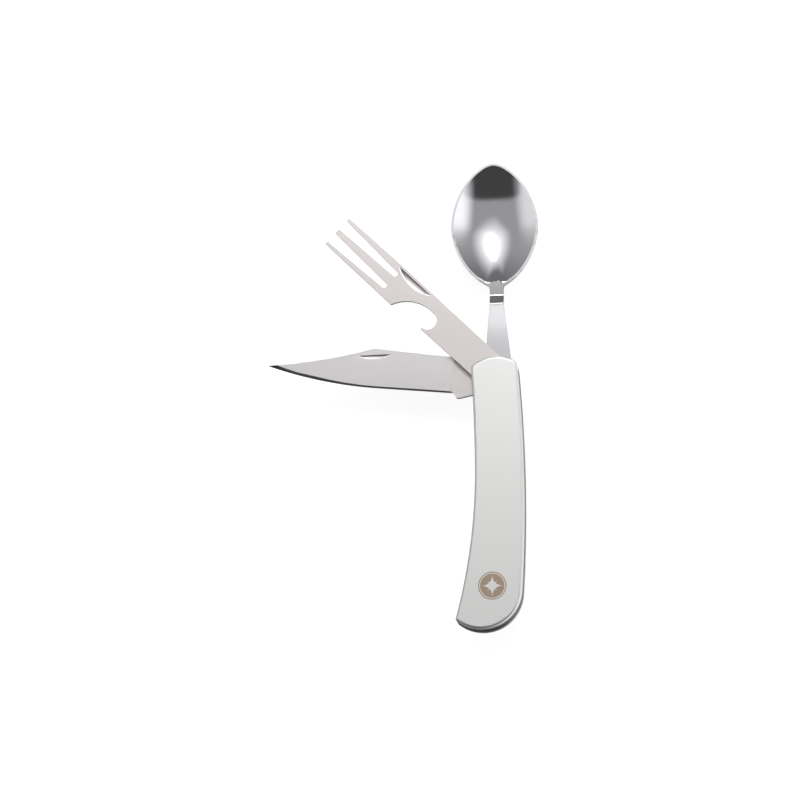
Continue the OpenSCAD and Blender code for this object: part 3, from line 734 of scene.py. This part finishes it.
# %% [markdown]
# ## Studio light
# The bowl is a hollow mirror, so it shows the whole room: a soft lamp with a strong middle, high
# beyond the bowl, dark where the camera stands, and bright walls left and right. The satin steel
# blurs the same room into an even grey that fades towards the tail. The room is drawn by
# directions in the world's shader. The lamp hangs near, so its light changes along the handle.

# %% The room and the lamp
def window(tree, value, start, end, low, high):
    """Goes smoothly from low at start to high at end."""
    return add_node(tree, "ShaderNodeMapRange", {
        "Value": value, "From Min": start, "From Max": end, "To Min": low, "To Max": high},
        interpolation_type="SMOOTHSTEP").outputs[0]


def light_room():
    """A grey room, dark behind the camera, with a bright wall on either side."""
    world = bpy.data.worlds.new("studio")
    scene.world = world
    world.use_nodes = True
    tree = world.node_tree
    back = tree.nodes["Background"]
    way = add_node(tree, "ShaderNodeTexCoord").outputs["Generated"]
    parts = add_node(tree, "ShaderNodeSeparateXYZ", {"Vector": way})
    x, y = parts.outputs[0], parts.outputs[1]
    ahead = window(tree, y, 0.5, 0.92, ROOM, ROOM_AHEAD)
    behind = window(tree, y, -0.2, -0.29, 0, 1 - DARK / ROOM)
    middle = math_node(tree, "SUBTRACT", window(tree, x, -0.9, -0.82, 0, 1),
                       window(tree, x, 0.78, 0.88, 0, 1))
    dark = math_node(tree, "SUBTRACT", 1, math_node(tree, "MULTIPLY", behind, middle))
    walls = math_node(tree, "ADD", window(tree, x, 0.6, 0.88, 0, WALL_RIGHT),
                      window(tree, x, -0.7, -0.95, 0, WALL_LEFT))
    band = math_node(tree, "MULTIPLY", window(tree, y, -0.6, -0.4, 0, 1),
                     window(tree, y, 0.62, 0.02, 0, 1))
    level = math_node(tree, "ADD", math_node(tree, "MULTIPLY", ahead, dark),
                      math_node(tree, "MULTIPLY", walls, band))
    camera_ray = add_node(tree, "ShaderNodeLightPath").outputs["Is Camera Ray"]
    tree.links.new(math_node(tree, "MAXIMUM", level, camera_ray), back.inputs["Strength"])
    back.inputs["Color"].default_value = (1, 1, 1, 1)


def facing(direction, distance):
    """A place in that direction from the tool, turned to face it."""
    way = Vector(direction).normalized()
    return Matrix.Translation(way * distance) @ way.to_track_quat("Z", "Y").to_matrix().to_4x4()


def lamp_material(halo, core):
    """Light that fades to nothing from the lamp's middle to its edge."""
    material = bpy.data.materials.new("lamp_cloth")
    material.use_nodes = True
    tree = material.node_tree
    tree.nodes.remove(tree.nodes["Principled BSDF"])
    place = add_node(tree, "ShaderNodeUVMap").outputs[0]
    centred = add_node(tree, "ShaderNodeVectorMath", {0: place, 1: (0.5, 0.5, 0)},
                       operation="SUBTRACT").outputs[0]
    far = add_node(tree, "ShaderNodeVectorMath", {0: centred}, operation="LENGTH")
    far = far.outputs["Value"]
    fade = math_node(tree, "ADD", window(tree, far, 0.0, 0.5, halo, 0),
                     window(tree, far, 0.03, 0.2, core, 0))
    glow = add_node(tree, "ShaderNodeEmission", {"Strength": fade})
    clear = add_node(tree, "ShaderNodeBsdfTransparent")
    both = add_node(tree, "ShaderNodeAddShader", {0: glow.outputs[0], 1: clear.outputs[0]})
    tree.links.new(both.outputs[0], tree.nodes["Material Output"].inputs["Surface"])
    return material


def stage_card(name, material, direction, distance, half_size):
    """A round card that faces the tool and doesn't show to the camera."""
    mesh = bpy.data.meshes.new(name)
    bm = bmesh.new()
    layer = bm.loops.layers.uv.new("card")
    bmesh.ops.create_circle(bm, cap_ends=True, radius=1, segments=64)
    for face in bm.faces:
        for loop in face.loops:
            loop[layer].uv = (loop.vert.co.x / 2 + 0.5, loop.vert.co.y / 2 + 0.5)
    bmesh.ops.transform(bm, matrix=facing(direction, distance)
                        @ Matrix.Diagonal((half_size[0], half_size[1], 1, 1)), verts=bm.verts)
    bm.to_mesh(mesh)
    bm.free()
    mesh.materials.append(material)
    card = bpy.data.objects.new(name, mesh)
    scene.collection.objects.link(card)
    card.visible_camera = False
    card.visible_shadow = False
    return card


ROOM, ROOM_AHEAD, DARK = 0.38, 0.18, 0.062
WALL_RIGHT, WALL_LEFT = 0.9, 0.5
LAMP_WAY = (sin(radians(1.5)), sin(radians(35.5)), cos(radians(35.5)))
LAMP_FAR, LAMP_HALF_SIZE = 0.9, (0.75, 0.6)
LAMP_HALO, LAMP_CORE = 1.2, 8
light_room()
stage_card("lamp", lamp_material(LAMP_HALO, LAMP_CORE), LAMP_WAY, LAMP_FAR, LAMP_HALF_SIZE)
print("lamp at", [round(LAMP_FAR * v, 2) for v in LAMP_WAY], "m")
